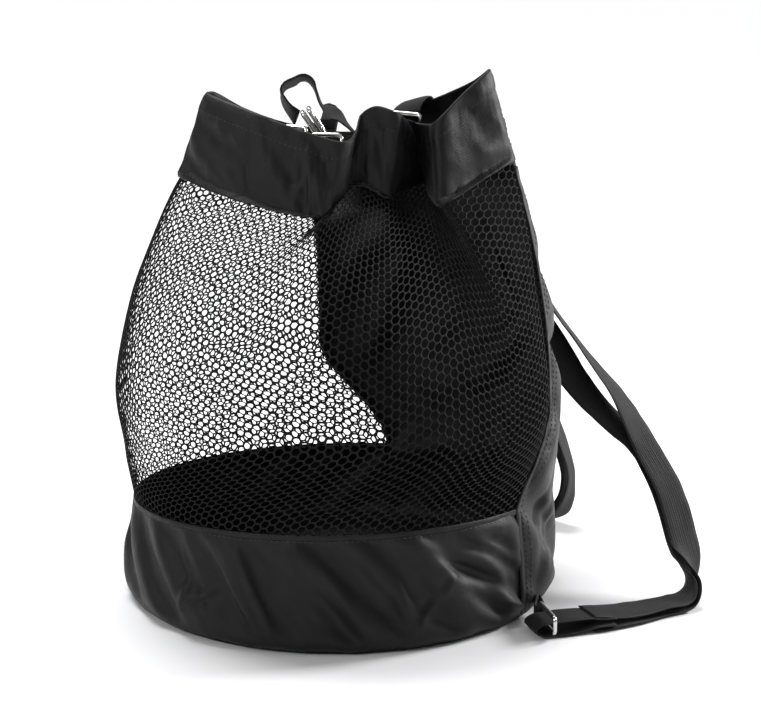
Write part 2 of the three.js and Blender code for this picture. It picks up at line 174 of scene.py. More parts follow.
def levels_between(deg, low, high, share):
    """The level at each share of the cloth's height between two levels, measured along the cloth."""
    steps = np.linspace(low, high, 81)
    line = bag_point(np.asarray(deg)[:, None], steps[None, :])
    run = np.concatenate([np.zeros((len(deg), 1)),
                          np.cumsum(np.linalg.norm(np.diff(line, axis=1), axis=2), axis=1)], axis=1)
    return np.stack([np.interp(np.asarray(share) * r[-1], r, steps) for r in run]), run[:, -1]


def grid_normals(grid):
    return unit(np.cross(np.gradient(grid, axis=0), np.gradient(grid, axis=1)))


def grid_at(grid, u, v):
    """A grid's value at fractional places u along and v across, both from 0 to 1."""
    n, m = grid.shape[:2]
    a, b = np.clip(u, 0, 1) * (n - 1), np.clip(v, 0, 1) * (m - 1)
    i, j = np.minimum(a.astype(int), n - 2), np.minimum(b.astype(int), m - 2)
    a, b = (a - i)[..., None], (b - j)[..., None]
    return ((grid[i, j] * (1 - a) + grid[i + 1, j] * a) * (1 - b)
            + (grid[i, j + 1] * (1 - a) + grid[i + 1, j + 1] * a) * b)


# ---- meshes --------------------------------------------------------------------------------------
def piece(name, points, faces, material, uv=None):
    mesh = bpy.data.meshes.new(name)
    mesh.from_pydata((np.asarray(points) * MM).tolist(), [], faces)
    mesh.polygons.foreach_set("use_smooth", np.ones(len(mesh.polygons), bool))
    if uv is not None:
        corner = np.zeros(len(mesh.loops), np.int32)
        mesh.loops.foreach_get("vertex_index", corner)
        layer = mesh.uv_layers.new(name="cloth")
        layer.data.foreach_set("uv", (np.asarray(uv)[corner] * MM).astype(np.float32).ravel())
    mesh.materials.append(material)
    mesh.update()
    made = bpy.data.objects.new(name, mesh)
    bpy.context.collection.objects.link(made)
    return made


def quads(n, m, start=0, closed=False, flip=False):
    """Faces of an n by m grid of points."""
    i, j = np.meshgrid(np.arange(n - 1), np.arange(m if closed else m - 1), indexing="ij")
    k = (j + 1) % m
    f = np.stack([i * m + j, (i + 1) * m + j, (i + 1) * m + k, i * m + k], -1).reshape(-1, 4) + start
    return (f[:, ::-1] if flip else f).tolist()


def shell(name, grid, uv, material, thickness=CLOTH):
    """A sheet of cloth as a closed shell with rounded edges, from the grid of its middle surface."""
    n, m = grid.shape[:2]
    normal = grid_normals(grid)
    half = np.broadcast_to(np.asarray(thickness, float) / 2, (n, m))[..., None]
    index = np.arange(n * m).reshape(n, m)
    loop = np.concatenate([index[:-1, 0], index[-1, :-1], index[:0:-1, -1], index[0, :0:-1]])
    inward = grid.copy()
    inward[0], inward[-1] = grid[1], grid[-2]
    flat, toward = grid.reshape(-1, 3), inward.copy()
    toward[:, 0], toward[:, -1] = inward[:, 1], inward[:, -2]
    out = unit(flat - toward.reshape(-1, 3))[loop]
    rim = flat[loop] + out * half.reshape(-1, 1)[loop] * 0.8
    outer, inner = grid + normal * half, grid - normal * half
    points = np.concatenate([outer.reshape(-1, 3), inner.reshape(-1, 3), rim])
    faces = quads(n, m) + quads(n, m, n * m, flip=True)
    count, edge = len(loop), 2 * n * m
    for a in range(count):
        b = (a + 1) % count
        faces.append((loop[a], edge + a, edge + b, loop[b]))
        faces.append((edge + a, loop[a] + n * m, loop[b] + n * m, edge + b))
    flat_uv = uv.reshape(-1, 2)
    return piece(name, points, faces, material, np.concatenate([flat_uv, flat_uv, flat_uv[loop]]))


def tube(name, rows, material, uv=None, closed=False):
    """A solid from rows of section points; open ends are capped."""
    n, m = rows.shape[:2]
    points = rows.reshape(-1, 3)
    if closed:
        rows = np.concatenate([rows, rows[:1]])
        faces = [[v % (n * m) for v in f] for f in quads(n + 1, m, closed=True)]
    else:
        faces = quads(n, m, closed=True) + [list(range(m)), list(range(n * m - 1, (n - 1) * m - 1, -1))]
    return piece(name, points, faces, material, None if uv is None else uv.reshape(-1, 2))


# ---- materials -----------------------------------------------------------------------------------
class Nodes:
    """A node tree with short calls for what the materials use."""

    def __init__(self, name):
        self.material = bpy.data.materials.new(name)
        self.material.use_nodes = True
        self.tree = self.material.node_tree
        self.shader = self.tree.nodes["Principled BSDF"]

    def new(self, kind, values=(), **settings):
        node = self.tree.nodes.new(kind)
        for key, value in settings.items():
            setattr(node, key, value)
        for key, value in dict(values).items():
            if isinstance(value, bpy.types.NodeSocket):
                self.tree.links.new(value, node.inputs[key])
            else:
                node.inputs[key].default_value = value
        return node

    def math(self, operation, a, b=0.0, c=0.0):
        return self.new("ShaderNodeMath", {0: a, 1: b, 2: c}, operation=operation).outputs[0]

    def noise(self, scale, detail=3.0, roughness=0.5, where=None):
        where = where or self.new("ShaderNodeTexCoord").outputs["Object"]
        return self.new("ShaderNodeTexNoise", {"Vector": where, "Scale": scale, "Detail": detail,
                                               "Roughness": roughness}).outputs["Fac"]

    def spread(self, value, low, high, start=0.0, end=1.0):
        return self.new("ShaderNodeMapRange", {"Value": value, "From Min": start, "From Max": end,
                                               "To Min": low, "To Max": high}).outputs["Result"]

    def bump(self, height, strength, distance, before=None):
        values = {"Height": height, "Strength": strength, "Distance": distance}
        if before:
            values["Normal"] = before
        return self.new("ShaderNodeBump", values).outputs["Normal"]

    def ramp(self, value, low, high):
        node = self.new("ShaderNodeValToRGB", {"Fac": value})
        node.color_ramp.elements[0].color = (*low, 1)
        node.color_ramp.elements[1].color = (*high, 1)
        return node.outputs["Color"]

    def wave(self, coordinate, period, shift=0.0):
        """A sine over a coordinate in metres."""
        return self.math("SINE", self.math("MULTIPLY_ADD", coordinate, 2 * math.pi / period, shift))

    def set(self, **values):
        for key, value in values.items():
            socket = self.shader.inputs[key.replace("_", " ")]
            if isinstance(value, bpy.types.NodeSocket):
                self.tree.links.new(value, socket)
            else:
                socket.default_value = value
        return self.material


def nylon_material(name, shade, rough, crease):
    """Coated nylon: a fine plain weave, soft crinkles and a dull shine."""
    n = Nodes(name)
    uv = n.new("ShaderNodeSeparateXYZ", {0: n.new("ShaderNodeUVMap", uv_map="cloth").outputs[0]})
    weave = n.math("MULTIPLY", n.wave(uv.outputs[0], 0.0009), n.wave(uv.outputs[1], 0.0009))
    slub = n.noise(900, 2)
    crinkle = n.noise(70, 5, 0.55)
    cloud = n.noise(14, 3)
    normal = n.bump(n.math("ADD", weave, slub), 0.35, 0.00012)
    normal = n.bump(crinkle, crease, 0.0022, normal)
    tint = n.ramp(n.math("MULTIPLY_ADD", weave, 0.1, cloud),
                  tuple(c * 0.72 for c in shade), tuple(c * 1.3 for c in shade))
    rub = n.spread(crinkle, rough - 0.07, rough + 0.09, 0.3, 0.7)
    return n.set(Base_Color=tint, Roughness=rub, Specular_IOR_Level=0.22, Sheen_Weight=0.02,
                 Sheen_Roughness=0.45, Normal=normal)


def webbing_material():
    """Woven webbing: chevron ribs along the tape and fine cords running its length."""
    n = Nodes("webbing")
    uv = n.new("ShaderNodeSeparateXYZ", {0: n.new("ShaderNodeUVMap", uv_map="cloth").outputs[0]})
    across, along = uv.outputs[0], uv.outputs[1]
    zigzag = n.math("PINGPONG", across, 0.0016)
    rib = n.wave(n.math("ADD", along, n.math("MULTIPLY", zigzag, 0.8)), 0.00125)
    cord = n.math("ABSOLUTE", n.wave(across, 0.0032))
    height = n.math("MULTIPLY_ADD", rib, 0.6, cord)
    fuzz = n.noise(1500, 2)
    normal = n.bump(n.math("ADD", height, fuzz), 0.55, 0.00022)
    tint = n.ramp(n.math("MULTIPLY_ADD", rib, 0.25, n.noise(25, 3)),
                  (0.003, 0.003, 0.0033), (0.009, 0.009, 0.0095))
    return n.set(Base_Color=tint, Roughness=n.spread(n.noise(60, 3), 0.55, 0.75), Specular_IOR_Level=0.2,
                 Sheen_Weight=0.03, Sheen_Roughness=0.5, Normal=normal)


def net_material():
    """Knitted polyester thread, with the loops' fine cross ribs."""
    n = Nodes("net thread")
    strand = n.noise(2600, 2)
    normal = n.bump(strand, 0.6, 0.00015)
    tint = n.ramp(n.noise(40, 3), (0.003, 0.003, 0.0033), (0.007, 0.007, 0.0075))
    return n.set(Base_Color=tint, Roughness=n.spread(strand, 0.55, 0.75), Specular_IOR_Level=0.15,
                 Normal=normal)


def thread_material():
    """Sewing thread: two plies and a slight shine."""
    n = Nodes("thread")
    ply = n.noise(3200, 1)
    return n.set(Base_Color=n.ramp(n.noise(80, 2), (0.012, 0.012, 0.013), (0.035, 0.035, 0.037)),
                 Roughness=n.spread(ply, 0.4, 0.6), Normal=n.bump(ply, 0.5, 0.0001))


def nickel_material():
    """Polished nickel plate with hairline scratches and a few dull spots."""
    n = Nodes("nickel")
    where = n.new("ShaderNodeTexCoord").outputs["Object"]
    stretched = n.new("ShaderNodeMapping", {"Vector": where, "Scale": (1, 1, 14)}).outputs[0]
    hair = n.noise(420, 4, 0.6, stretched)
    dull = n.noise(130, 3)
    return n.set(Base_Color=n.ramp(dull, (0.56, 0.55, 0.53), (0.78, 0.77, 0.75)), Metallic=1.0,
                 Roughness=n.math("MULTIPLY_ADD", hair, 0.16, n.spread(dull, 0.05, 0.16)),
                 Normal=n.bump(hair, 0.12, 0.00012))


NYLON = nylon_material("nylon", (0.0042, 0.0042, 0.0046), 0.48, 0.3)
LINING = nylon_material("base nylon", (0.004, 0.004, 0.0044), 0.6, 0.25)
WEBBING = webbing_material()
NET = net_material()
THREAD = thread_material()
NICKEL = nickel_material()


# ---- cloth ---------------------------------------------------------------------------------------
def cloth_grid(deg_from, deg_to, columns, low, high, rows, offset=0.0):
    """The middle surface of a panel and its flat coordinates."""
    deg = np.linspace(deg_from, deg_to, columns)
    share = np.linspace(0, 1, rows)
    level, height = levels_between(deg, low, high, share)
    grid = bag_point(deg[:, None], level)
    grid = grid + grid_normals(grid) * offset
    along = np.radians(deg) * BAND_R
    uv = np.stack(np.broadcast_arrays(along[:, None], share[None, :] * height[:, None]), -1)
    return grid, uv


def biharmonic(d):
    def lap(x):
        out = np.zeros_like(x)
        out[1:-1, 1:-1] = (x[2:, 1:-1] + x[:-2, 1:-1] + x[1:-1, 2:] + x[1:-1, :-2]) / 4 - x[1:-1, 1:-1]
        return out
    return lap(lap(d))


def pull(a, b, rest, stiff):
    """Moves two sets of linked points towards the length of cloth between them."""
    gap = b - a
    length = np.linalg.norm(gap, axis=-1, keepdims=True)
    move = gap * (stiff * 0.5 * (length - rest[..., None]) / np.maximum(length, 1e-6))
    a += move
    b -= move


def resampled(grid, n, m):
    u, v = np.meshgrid(np.linspace(0, 1, n), np.linspace(0, 1, m), indexing="ij")
    return grid_at(grid, u, v)


def settle(base, extra, shear, low, high, seed, stages=((6, 160), (3, 90), (1.5, 40)), bend=0.5):
    """Lets a sewn sheet buckle. The cloth has a little more length than its place, by the shares in
    extra, and is pulled askew by shear. Its borders are sewn down; elsewhere it may leave the form
    by low to high. Each stage works on a finer grid. Returns how far each point moves."""
    moved = None
    for size, sweeps in stages:
        wide = np.linalg.norm(np.diff(base[:, base.shape[1] // 2], axis=0), axis=1).sum()
        tall = np.linalg.norm(np.diff(base[base.shape[0] // 2], axis=0), axis=1).sum()
        n, m = (min(max(int(w / size) + 1, 9), c) for w, c in zip((wide, tall), base.shape[:2]))
        form = resampled(base, n, m)
        out = grid_normals(form)
        x, y = np.meshgrid(np.linspace(0, wide, n), np.linspace(0, tall, m), indexing="ij")
        if moved is None:
            moved = out * (0.7 * noise(x / 21, y / 21, seed))[..., None]
        else:
            fine = 0.1 * noise(x / size / 2, y / size / 2, seed + 1)
            moved = resampled(moved, n, m) + out * fine[..., None]
        du = np.linalg.norm(np.diff(form, axis=0), axis=2)
        dv = np.linalg.norm(np.diff(form, axis=1), axis=2)
        askew = shear * (1 + 0.6 * noise(x / 75, y / 75, seed + 2))[:-1, :-1]
        one = np.linalg.norm(form[1:, 1:] - form[:-1, :-1], axis=2) * (1 + askew / 2)
        two = np.linalg.norm(form[1:, :-1] - form[:-1, 1:], axis=2) * (1 - askew / 2)
        grow = 1 + (extra[0] + extra[1]) / 2
        point = form + moved
        for _ in range(sweeps):
            for k in (0, 1):
                last = (n - k) // 2 * 2 + k
                pull(point[k:last:2], point[k + 1:last:2], du[k:last - 1:2] * (1 + extra[0]), 0.9)
                last = (m - k) // 2 * 2 + k
                pull(point[:, k:last:2], point[:, k + 1:last:2], dv[:, k:last - 1:2] * (1 + extra[1]), 0.9)
            for i in (0, 1):
                ni = (n - i) // 2 * 2 + i
                a, b = point[i:ni:2], point[i + 1:ni:2]
                pull(a[:, :-1], b[:, 1:], one[i:ni - 1:2] * grow, 0.45)
                pull(b[:, :-1], a[:, 1:], two[i:ni - 1:2] * grow, 0.45)
            d = point - form
            d -= bend * biharmonic(d)
            d[0] = d[-1] = d[:, 0] = d[:, -1] = 0
            lift = (d * out).sum(-1)
            d += out * (np.clip(lift, low, high) - lift)[..., None]
            point = form + d
        moved = point - form
    return resampled(moved, *base.shape[:2])


def crease(along, up, start, end, width, height):
    """A ridge or, with a negative height, a furrow, from start to end in flat coordinates. It is
    steeper on one side, as a fold in cloth is, and fades out at its ends."""
    a, b = np.array(start, float), np.array(end, float)
    d = b - a
    length = np.hypot(*d)
    x, y = along - a[0], up - a[1]
    t = (x * d[0] + y * d[1]) / length**2
    off = (x * d[1] - y * d[0]) / length
    fade = smooth(1 - np.abs(t - 0.5) * 2 * 0.9) ** 0.7 * (np.abs(t - 0.5) < 0.56)
    across = np.exp(-(off / width) ** 2) - 0.45 * np.exp(-((off - 1.3 * width) / (1.2 * width)) ** 2)
    return height * fade * across


def puckers(along, distance, seed, reach=9.0, depth=0.45):
    """The small gathers that a seam makes in the cloth beside it."""
    near = np.exp(-((distance / reach) ** 2))
    gathers = noise(along / 5.5, distance / 18, seed) + 0.6 * noise(along / 2.9, distance / 14, seed + 1)
    return depth * near * gathers


def crumple(along, up, seed, size, depth):
    """Soft ridged wrinkles, slanted as cloth under a slight twist."""
    warp = 0.5 * noise(along / size * 0.6, up / size * 0.6, seed + 5)
    x, y = (along + 0.7 * up) / size + warp, (up - 0.35 * along) / (2.1 * size) + warp
    ridge = 1 - np.abs(noise(x, y, seed)) * 2
    return depth * (ridge * 0.6 + 0.4 * noise(x * 2.1, y * 2.3, seed + 2))


def stitches(name, line, normal, body, pitch=3.3, radius=0.2, fill=0.72):
    """A row of lock stitches along a line that lies on the cloth."""
    step = np.concatenate([[0], np.cumsum(np.linalg.norm(np.diff(line, axis=0), axis=1))])
    count = max(int(step[-1] / pitch), 1)
    rings = np.linspace(-0.5, 0.5, 5)
    at = (np.arange(count)[:, None] + 0.5 + rings[None, :] * fill) * pitch
    centre = np.stack([np.interp(at, step, line[:, k]) for k in range(3)], -1)
    up = unit(np.stack([np.interp(at, step, normal[:, k]) for k in range(3)], -1))
    along = unit(np.gradient(centre, axis=1))
    across = unit(np.cross(along, up))
    lift = radius * (0.9 - 2.6 * np.abs(rings * 2) ** 4)
    centre = centre + up * lift[None, :, None]
    size = radius * (1 - 0.35 * np.abs(rings * 2) ** 3)
    turn = np.linspace(0, 2 * math.pi, 6, endpoint=False)
    ring_points = (centre[:, :, None, :] + size[None, :, None, None]
                   * (np.cos(turn)[None, None, :, None] * across[:, :, None, :]
                      + np.sin(turn)[None, None, :, None] * up[:, :, None, :]))
    faces = []
    for k in range(count):
        start = k * 30
        faces += quads(5, 6, start, closed=True)
        faces += [list(range(start, start + 6)), list(range(start + 29, start + 23, -1))]
    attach(piece(name, ring_points.reshape(-1, 3), faces, THREAD), body)


def seam_line(grid, u, v, lift=CLOTH / 2):
    """A line on a panel's outer face, from places u along and v up the panel."""
    normal = unit(grid_at(grid_normals(grid), u, v))
    return grid_at(grid, u, v) + normal * lift, normal


FRONT_FROM, FRONT_TO = PANEL_BACK - 360, PANEL_FRONT


def make_band():
    grid, uv = cloth_grid(FRONT_FROM, FRONT_TO, 430, -0.035, 1.0, 54)
    along, up = uv[..., 0], uv[..., 1]
    height = up[:, -1:]
    grid = grid + settle(grid, (0.025, 0.045), 0.1, -1.5, 3.0, 3, bend=0.05)
    hold = smooth(up / 12) * smooth((height - up) / 8)
    bend = crumple(along, up, 5, 17, 0.6) * hold
    for start, end, width, depth in [
        ((-60, 58), (-34, 8), 2.2, 2.1), ((-78, 58), (-42, 12), 3, 1.9), ((-104, 56), (-90, 34), 2.4, 1.6),
        ((-89, 44), (-98, 12), 2.4, 1.5), ((-102, 16), (-64, 38), 2.2, 1.9), ((-26, 56), (12, 2), 4.5, -2.6),
        ((-14, 58), (20, 6), 3, 1.8), ((28, 58), (40, 4), 4, 1.6), ((68, 44), (36, 8), 2.6, 1.9),
        ((50, 58), (112, 20), 4.5, -4.2), ((74, 64), (122, 34), 3, 2.2), ((96, 20), (126, 6), 3, 1.6),
        ((-200, 52), (-168, 8), 5, 1.7),
        ((-262, 50), (-225, 14), 5, 1.5), ((-330, 58), (-290, 10), 5, 1.8), ((-400, 54), (-372, 12), 5, 1.4),
    ]:
        bend = bend + crease(along, up, start, end, width, depth) * hold
    bend = bend + puckers(along, height - up, 11, 8, 0.35) + puckers(along, up, 14, 8, 0.3)
    grid = grid + grid_normals(grid) * bend[..., None]
    band = shell("front_band_cloth", grid, uv, NYLON)
    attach(band, "bag")
    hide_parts("front_band")
    around = np.linspace(0.004, 0.996, 900)
    hem_at = 1 - 2.6 / 64
    stitches("band_hem_stitches", *seam_line(grid, around, np.full(900, hem_at)), "bag")
    stitches("band_base_stitches", *seam_line(grid, around, np.full(900, 3.5 / 64)), "bag")


def make_collar():
    grid, uv = cloth_grid(FRONT_FROM, FRONT_TO, 620, 2.975, 4.0, 42, offset=0.6)
    along, up = uv[..., 0], uv[..., 1]
    height = up[:, -1:]
    grid = grid + settle(grid, (0.03, 0.04), 0.09, -2.0, 2.0, 21, ((5, 120), (2.5, 60)), 0.07)
    hold = smooth((height - up) / 16) * smooth(up / 8)
    bend = crumple(along, up * 0.7, 25, 13, 0.75) * hold
    for start, end, width, depth in [
        ((-232, 46), (-226, 6), 5, 1.3), ((-205, 44), (-212, 4), 7, -0.9), ((-176, 20), (-140, 14), 3, 0.9),
        ((-150, 44), (-158, 6), 5, 1.0), ((-40, 42), (-36, 6), 5, 1.0), ((92, 44), (104, 4), 5, 1.2),
    ]:
        bend = bend + crease(along, up, start, end, width, depth) * hold
    bend = bend + puckers(along, height - up - 10, 31, 6, 0.25) + puckers(along, up - 3, 34, 7, 0.35)
    flare = 1.2 * np.exp(-(up / 7.0) ** 2)
    grid = grid + grid_normals(grid) * (bend + flare)[..., None]
    hem = 1 + 0.7 * smooth((up - (height - 11)) / 1.2)
    collar = shell("collar_cloth", grid, uv, NYLON, CLOTH * hem)
    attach(collar, "bag")
    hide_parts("collar")
    around = np.linspace(0.003, 0.997, 1100)
    for name, place in (("collar_hem_stitches", 1 - 10.0 / 50), ("collar_lower_stitches", 2.6 / 50)):
        stitches(name, *seam_line(grid, around, np.full(1100, place), CLOTH * 0.6), "bag", radius=0.14)


def make_back_panel():
    grid, uv = cloth_grid(PANEL_FRONT, PANEL_BACK, 170, -0.035, 4.0, 212)
    along, up = uv[..., 0], uv[..., 1]
    side = np.minimum(along - along[0, 0], along[-1, 0] - along)
    top = up[:, -1:] - up
    grid = grid + settle(grid, (0.04, 0.04), 0.1, -1.8, 5.0, 41, ((9, 170), (4.5, 100), (2.2, 50)), 0.08)
    hold = smooth(up / 12) * smooth(top / 10) * smooth(side / 10)
    bend = crumple(along, up * 0.8, 41, 19, 0.45) * hold
    for start, end, width, depth in [
        ((132, 14), (160, 80), 5, -2.4), ((146, 10), (178, 66), 4, 1.8), ((150, 90), (176, 200), 6, -1.8),
        ((300, 20), (270, 90), 6, -2.4), ((230, 30), (250, 150), 8, 1.8), ((330, 60), (320, 190), 7, -2.0),
        ((200, 240), (215, 160), 7, 1.8), ((255, 250), (245, 180), 6, -2.0),
    ]:
        bend = bend + crease(along, up, start, end, width, depth) * hold
    bend = bend + puckers(along, up, 44, 8, 0.3) + puckers(up, side, 47, 9, 0.5)
    bend = bend + puckers(along, top - 10, 51, 7, 0.3)
    grid = grid + grid_normals(grid) * bend[..., None]
    hem = 1 + 0.7 * smooth((11 - top) / 1.2)
    panel = shell("back_panel_cloth", grid, uv, NYLON, CLOTH * hem)
    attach(panel, "bag")
    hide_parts("back_panel")
    run = np.linspace(0.004, 0.996, 700)
    total = up[:, -1].mean()
    for name, place in (("front", 4.0), ("front_second", 8.0)):
        stitches(f"panel_{name}_stitches", *seam_line(grid, np.full(700, place / 248), run), "bag")
        stitches(f"panel_far_{name}_stitches", *seam_line(grid, np.full(700, 1 - place / 248), run), "bag")
    stitches("panel_hem_stitches", *seam_line(grid, run, np.full(700, 1 - 10 / total), CLOTH * 0.6), "bag")
    stitches("panel_base_stitches", *seam_line(grid, run, np.full(700, 3.5 / total)), "bag")


# ---- net -----------------------------------------------------------------------------------------
CELL = 2.9            # side of a hexagon
THREAD_W = 1.0        # width of the knitted thread
THREAD_T = 0.8        # its thickness
HOLE_ROUND = 0.93     # how far a hole's corners are drawn in, which rounds it


def net_surface(tuck=3.0):
    """A fine grid over the net panel, its seam allowances included, with its flat size."""
    deg = np.linspace(FRONT_FROM - 1.2, FRONT_TO + 1.2, 500)
    share = np.linspace(0, 1, 220)
    level, height = levels_between(deg, 0.94, 3.09, share)
    grid = bag_point(deg[:, None], level)
    width = math.radians(deg[-1] - deg[0]) * BAND_R
    tall = height.mean()
    x, y = np.meshgrid(np.linspace(0, width, 500), share * tall, indexing="ij")
    free = smooth(y / 30) * smooth((tall - y) / 20)
    slack = 1.3 * noise(x / 38, y / 70, 61) + 0.7 * noise(x / 17, y / 30, 62)
    tucked = 0.9 * (1 - smooth((y - 2) / 5)) + 0.7 * (1 - smooth((tall - y - 3) / 5))
    grid = grid + grid_normals(grid) * (slack * free - tucked)[..., None]
    return grid, width, tall


def make_net():
    grid, width, tall = net_surface()
    normals = grid_normals(grid)
    columns = int(width / (1.5 * CELL))
    across = width / columns
    rows = int(tall / (math.sqrt(3) * CELL))
    up = tall / rows
    turn = np.arange(12) * math.pi / 6
    at_corner = np.arange(12) % 2 == 0
    reach = np.where(at_corner, 1.0, math.sqrt(3) / 2)
    rim_x, rim_y = np.cos(turn) * reach * across / 1.5, np.sin(turn) * reach * up / math.sqrt(3)
    inner = 1 - THREAD_W / 2 / (CELL * math.sqrt(3) / 2)
    hole_x, hole_y = [v * np.where(at_corner, inner * HOLE_ROUND, inner) for v in (rim_x, rim_y)]
    names = ["net_left", "net_front", "net_right"]
    for part, name in enumerate(names):
        first, last = columns * part // len(names), columns * (part + 1) // len(names)
        key, points, offset, faces, rims = {}, [], [], [], {}

        def vertex(x, y, side):
            k = (round(x * 50), round(y * 50), side)
            if k not in key:
                key[k] = len(points)
                points.append((x, y))
                offset.append(side)
            return key[k]
        for i in range(first, last):
            for j in range(rows):
                cx = (i + 0.5) * across
                cy = (j + 0.5 + (0.5 if i % 2 else 0.0)) * up
                if cy + up * 0.55 > tall:
                    continue
                top = [vertex(cx + rim_x[k], cy + rim_y[k], 1) for k in range(12)]
                low = [vertex(cx + rim_x[k], cy + rim_y[k], -1) for k in range(12)]
                mid = [vertex(cx + hole_x[k], cy + hole_y[k], 0) for k in range(12)]
                for k in range(12):
                    m = (k + 1) % 12
                    faces.append((top[k], top[m], mid[m], mid[k]))
                    faces.append((low[m], low[k], mid[k], mid[m]))
                    border = rims.setdefault(frozenset((top[k], top[m])), [])
                    border.append((top[m], top[k], low[k], low[m]))
        faces += [found[0] for found in rims.values() if len(found) == 1]
        p = np.array(points)
        u, v = np.clip(p[:, 0] / width, 0, 1), np.clip(p[:, 1] / tall, 0, 1)
        out = unit(grid_at(normals, u, v))
        place = grid_at(grid, u, v) + out * (np.array(offset) * THREAD_T / 2)[:, None]
        net = piece(name, place, faces, NET)
        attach(net, "bag")
        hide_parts("net_panel")


# ---- base ----------------------------------------------------------------------------------------
def make_base():
    """The round base, a little crowned and rippled at its sewn edge, with piping round it."""
    disc = BASE_R - 2 * PIPING_R - 0.3
    turn = np.linspace(0, 2 * math.pi, 145)[:-1]
    radii = np.concatenate([np.linspace(3, disc - 6, 26), np.linspace(disc - 4, disc, 5)])
    r, a = np.meshgrid(radii, turn, indexing="ij")
    dent = 0.5 * noise(r * np.cos(a) / 22, r * np.sin(a) / 22, 71) * smooth((disc - r) / 20)

    def layer(z):
        return np.stack([r * np.sin(a), -r * np.cos(a), z], -1)
    top, low = layer(1.55 + dent * 0.5), layer(0.12 + 0.1 * (dent + 0.5) * smooth((disc - r) / 10))
    n, m = r.shape
    points = np.concatenate([top.reshape(-1, 3), low.reshape(-1, 3), [[0, 0, 1.6], [0, 0, 0.15]]])
    faces = quads(n, m, 0, closed=True) + quads(n, m, n * m, closed=True, flip=True)
    centre = 2 * n * m
    for j in range(m):
        k = (j + 1) % m
        faces.append((centre, j, k))
        faces.append((centre + 1, n * m + k, n * m + j))
        faces.append(((n - 1) * m + j, n * m + (n - 1) * m + j, n * m + (n - 1) * m + k, (n - 1) * m + k))
    uv = points[:, :2]
    base = piece("base_cloth", points, faces, LINING, uv)
    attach(base, "bag")
    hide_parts("base_disc")
    line = np.stack([(disc - 5) * np.sin(turn), (disc - 5) * np.cos(turn), np.full(144, 0.1)], -1)
    stitches("base_stitches", np.vstack([line, line[:1]]), np.tile([0, 0, -1.0], (145, 1)), "bag", pitch=3.6)
    turn = np.linspace(0, 2 * math.pi, 361)[:-1]
    ripple = 0.12 * noise(turn * 26, turn * 0, 73)
    ring = np.linspace(0, 2 * math.pi, 13)[:-1]
    b, t = np.meshgrid(ring, turn)
    radius = BASE_R - PIPING_R + ripple[:, None] + PIPING_R * np.cos(b)
    rows = np.stack([radius * np.sin(t), -radius * np.cos(t), PIPING_R + PIPING_R * np.sin(b)], -1)
    uv = np.stack([t * BASE_R, b * PIPING_R], -1)
    piping = tube("piping_cloth", rows, NYLON, uv, closed=True)
    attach(piping, "bag")
    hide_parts("base_piping")


# ---- seam tapes ----------------------------------------------------------------------------------
def make_tapes():
    """The felled seams: a narrow folded strip of nylon over each joint between net and nylon. Their
    areas are of the strips as they show, as 10 mm is the least width that a flat size may have."""
    for name, node, deg in (("front_seam_strip", "front_seam_tape", PANEL_FRONT),
                            ("far_seam_strip", "far_seam_tape", PANEL_BACK)):
        share = np.linspace(0, 1, 240)
        degs = deg + np.linspace(-1.4, 0.5, 9)
        level, height = levels_between(degs, 0.03, 2.95, share)
        grid = bag_point(degs[:, None], level)
        s, y = np.meshgrid(np.linspace(-1, 1, 9), share * height.mean(), indexing="ij")
        lift = 0.9 + 0.5 * (1 - s**4) + 0.35 * noise(y / 7, s * 0.8, 81 + deg)
        grid = grid + grid_normals(grid) * lift[..., None]
        uv = np.stack([s * 3, y], -1)
        strip = shell(name, grid, uv, NYLON, 0.6)
        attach(strip, "bag")
        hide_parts(node)
    degs = np.linspace(FRONT_FROM + 0.5, FRONT_TO - 0.5, 430)
    level = np.linspace(0.966, 1.02, 8)
    grid = bag_point(degs[:, None], level[None, :])
    x, s = np.meshgrid(np.radians(degs) * BAND_R, np.linspace(-1, 1, 8), indexing="ij")
    lift = 0.6 + 0.4 * (1 - s**4) + 0.2 * noise(x / 6, s * 0.8, 91)
    grid = grid + grid_normals(grid) * lift[..., None]
    strip = shell("band_seam_strip", grid, np.stack([x, s * 3], -1), NYLON, 0.6)
    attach(strip, "bag")
    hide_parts("band_seam_tape")


# ---- webbing -------------------------------------------------------------------------------------
def ribbon_frame(route, spacing=1.6):
    """Centre line, direction across and face direction along a webbing route, evenly spaced."""
    points = [r[0] for r in route]
    across = unit(np.array([r[1] for r in route], float))
    lifts = np.array([[r[2] if len(r) > 2 else 0.0] for r in route], float)
    fine = np.linspace(0, 1, 1200)
    line = curve_at(points, fine)
    run = np.concatenate([[0], np.cumsum(np.linalg.norm(np.diff(line, axis=0), axis=1))])
    t = np.interp(np.linspace(0, run[-1], max(int(run[-1] / spacing), 4)), run, fine)
    line = curve_at(points, t)
    along = unit(np.gradient(line, axis=0))
    side = curve_at(across, t, power=0)
    side = unit(side - (side * along).sum(1, keepdims=True) * along)
    face = np.cross(along, side)
    line = line + face * curve_at(lifts, t, power=0)
    return line, side, face


